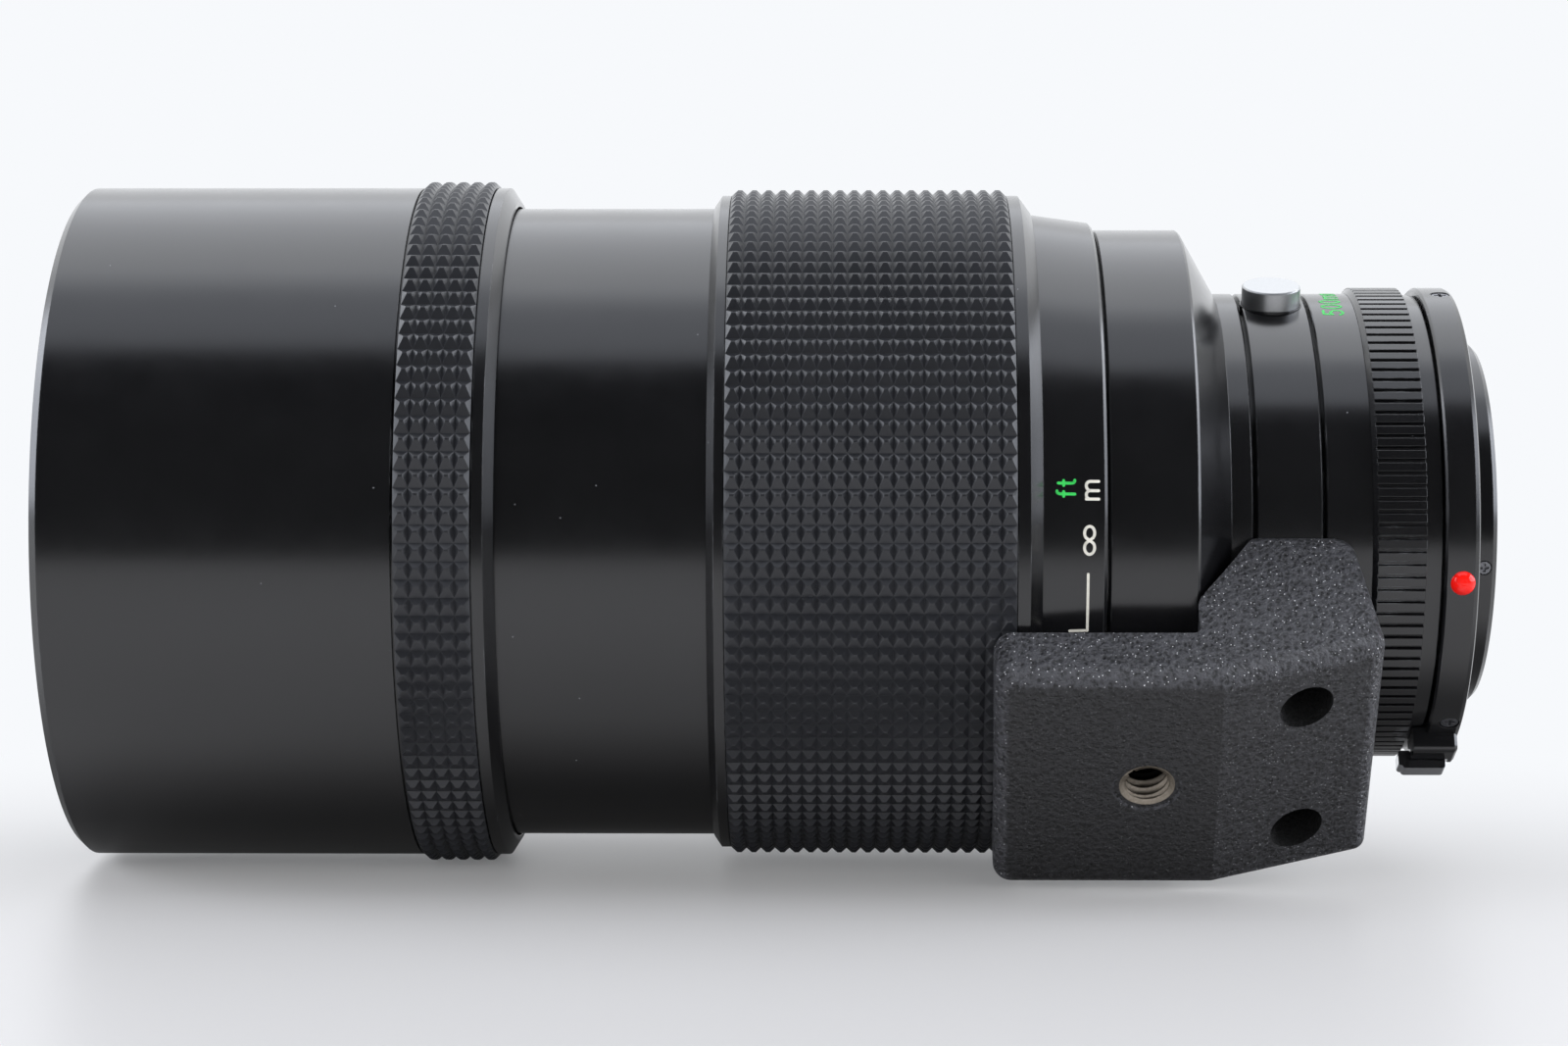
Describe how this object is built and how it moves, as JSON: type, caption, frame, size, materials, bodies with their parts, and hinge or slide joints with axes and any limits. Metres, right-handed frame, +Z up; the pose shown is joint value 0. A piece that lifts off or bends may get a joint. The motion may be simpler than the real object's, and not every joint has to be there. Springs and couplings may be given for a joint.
{
  "type": "mirror lens",
  "caption": "Catadioptric telephoto lens with screw-on hood, wide focus grip, turning tripod collar and rear bayonet mount.",
  "frame": {"origin": "on the optical axis, in the plane of the mount skirt's rear face", "axes": "+X along the optical axis towards the camera body, -Y towards the side with the red index bead, +Z up as the lens lies on a table"},
  "size_m": [0.1893, 0.0956, 0.0922],
  "materials": {
    "black_anodised": "satin black anodised",
    "inner_matt_black": "matt black anodised",
    "grip_rubber": "moulded rubber",
    "flock": "black flock",
    "optical_glass": "polished and coated",
    "mirror_coating": "vacuum coated",
    "brass": "turned, greased",
    "wrinkle_paint": "black wrinkle paint on a casting",
    "insert_steel": "worn bare steel",
    "polished_silver": "turned and polished",
    "chrome": "bright chrome",
    "spring_steel": "bright",
    "bayonet_steel": "satin chrome",
    "dark_screw": "blackened steel",
    "red_enamel": "glossy red enamel"
  },
  "bodies": {
    "barrel": {"main_barrel": "black_anodised", "focus_stop_ring": "inner_matt_black", "guide_keys": "brass", "primary_mirror": "mirror_coating", "mirror_cell": "inner_matt_black", "mirror_retaining_ring": "inner_matt_black", "central_baffle": "inner_matt_black", "rear_lens_cell": "inner_matt_black", "rear_lens_front": "optical_glass", "rear_lens_back": "optical_glass", "rear_lens_retainer": "inner_matt_black", "number_ring": "black_anodised", "ribbed_grip_ring": "black_anodised", "mount_skirt": "black_anodised", "skirt_screws": "dark_screw", "index_bead": "red_enamel", "bayonet_plate": "bayonet_steel", "light_guard": "inner_matt_black", "release_housing": "black_anodised", "release_spring": "spring_steel"},
    "focus_ring": {"focus_sleeve": "black_anodised", "focus_grip": "grip_rubber", "scale_ring": "black_anodised"},
    "front_group": {"front_barrel": "black_anodised", "front_cell": "inner_matt_black", "front_corrector_lens": "optical_glass", "front_retaining_ring": "black_anodised", "secondary_cap": "inner_matt_black", "secondary_mirror": "mirror_coating", "secondary_baffle": "inner_matt_black", "helicoid_ring": "brass"},
    "hood": {"hood_tube": "black_anodised", "hood_grip": "grip_rubber", "hood_lining": "flock", "hood_thread_ring": "inner_matt_black"},
    "tripod_collar": {"collar_ring": "black_anodised", "button_sleeve": "black_anodised", "tripod_foot": "wrinkle_paint", "tripod_bush": "insert_steel", "foot_screws": "dark_screw", "button_spring": "spring_steel"},
    "collar_button": {"collar_button": "polished_silver"},
    "release_button": {"release_button": "chrome"},
    "throat": {"throat_ring": "black_anodised", "throat_screws": "dark_screw", "signal_pins": "bayonet_steel"},
    "rear_filter": {"rear_filter_ring": "inner_matt_black", "rear_filter_glass": "optical_glass"}
  },
  "joints": [
    {"name": "focus_turn", "type": "hinge", "parent": "barrel", "child": "focus_ring", "pos_m": [0, 0, 0], "axis": [-1, 0, 0], "range_deg": [-4, 230]},
    {"name": "front_travel", "type": "slide", "parent": "barrel", "child": "front_group", "axis": [-1, 0, 0], "range_m": [-0.0002, 0.0081]},
    {"name": "hood_off", "type": "slide", "parent": "front_group", "child": "hood", "axis": [-1, 0, 0], "range_m": [0, 0.024]},
    {"name": "collar_turn", "type": "hinge", "parent": "barrel", "child": "tripod_collar", "pos_m": [0, 0, 0], "axis": [1, 0, 0], "range_deg": [-90, 90]},
    {"name": "collar_button_press", "type": "slide", "parent": "tripod_collar", "child": "collar_button", "axis": [0, 0.284, -0.9588], "range_m": [0, 0.0009], "stiffness_N_per_m": 800, "springref_m": -0.001, "deforming": ["button_spring"]},
    {"name": "release_press", "type": "slide", "parent": "barrel", "child": "release_button", "axis": [0, 0.4695, 0.8829], "range_m": [0, 0.0008], "stiffness_N_per_m": 600, "springref_m": -0.001, "deforming": ["release_spring"]},
    {"name": "throat_turn", "type": "hinge", "parent": "barrel", "child": "throat", "pos_m": [0, 0, 0], "axis": [1, 0, 0], "range_deg": [0, 60]},
    {"name": "rear_filter_out", "type": "slide", "parent": "barrel", "child": "rear_filter", "axis": [1, 0, 0], "range_m": [0, 0.02]}
  ],
  "couplings": [
    {"joint": "front_travel", "follows": "focus_turn", "m_per_rad": 0.0019929}
  ]
}
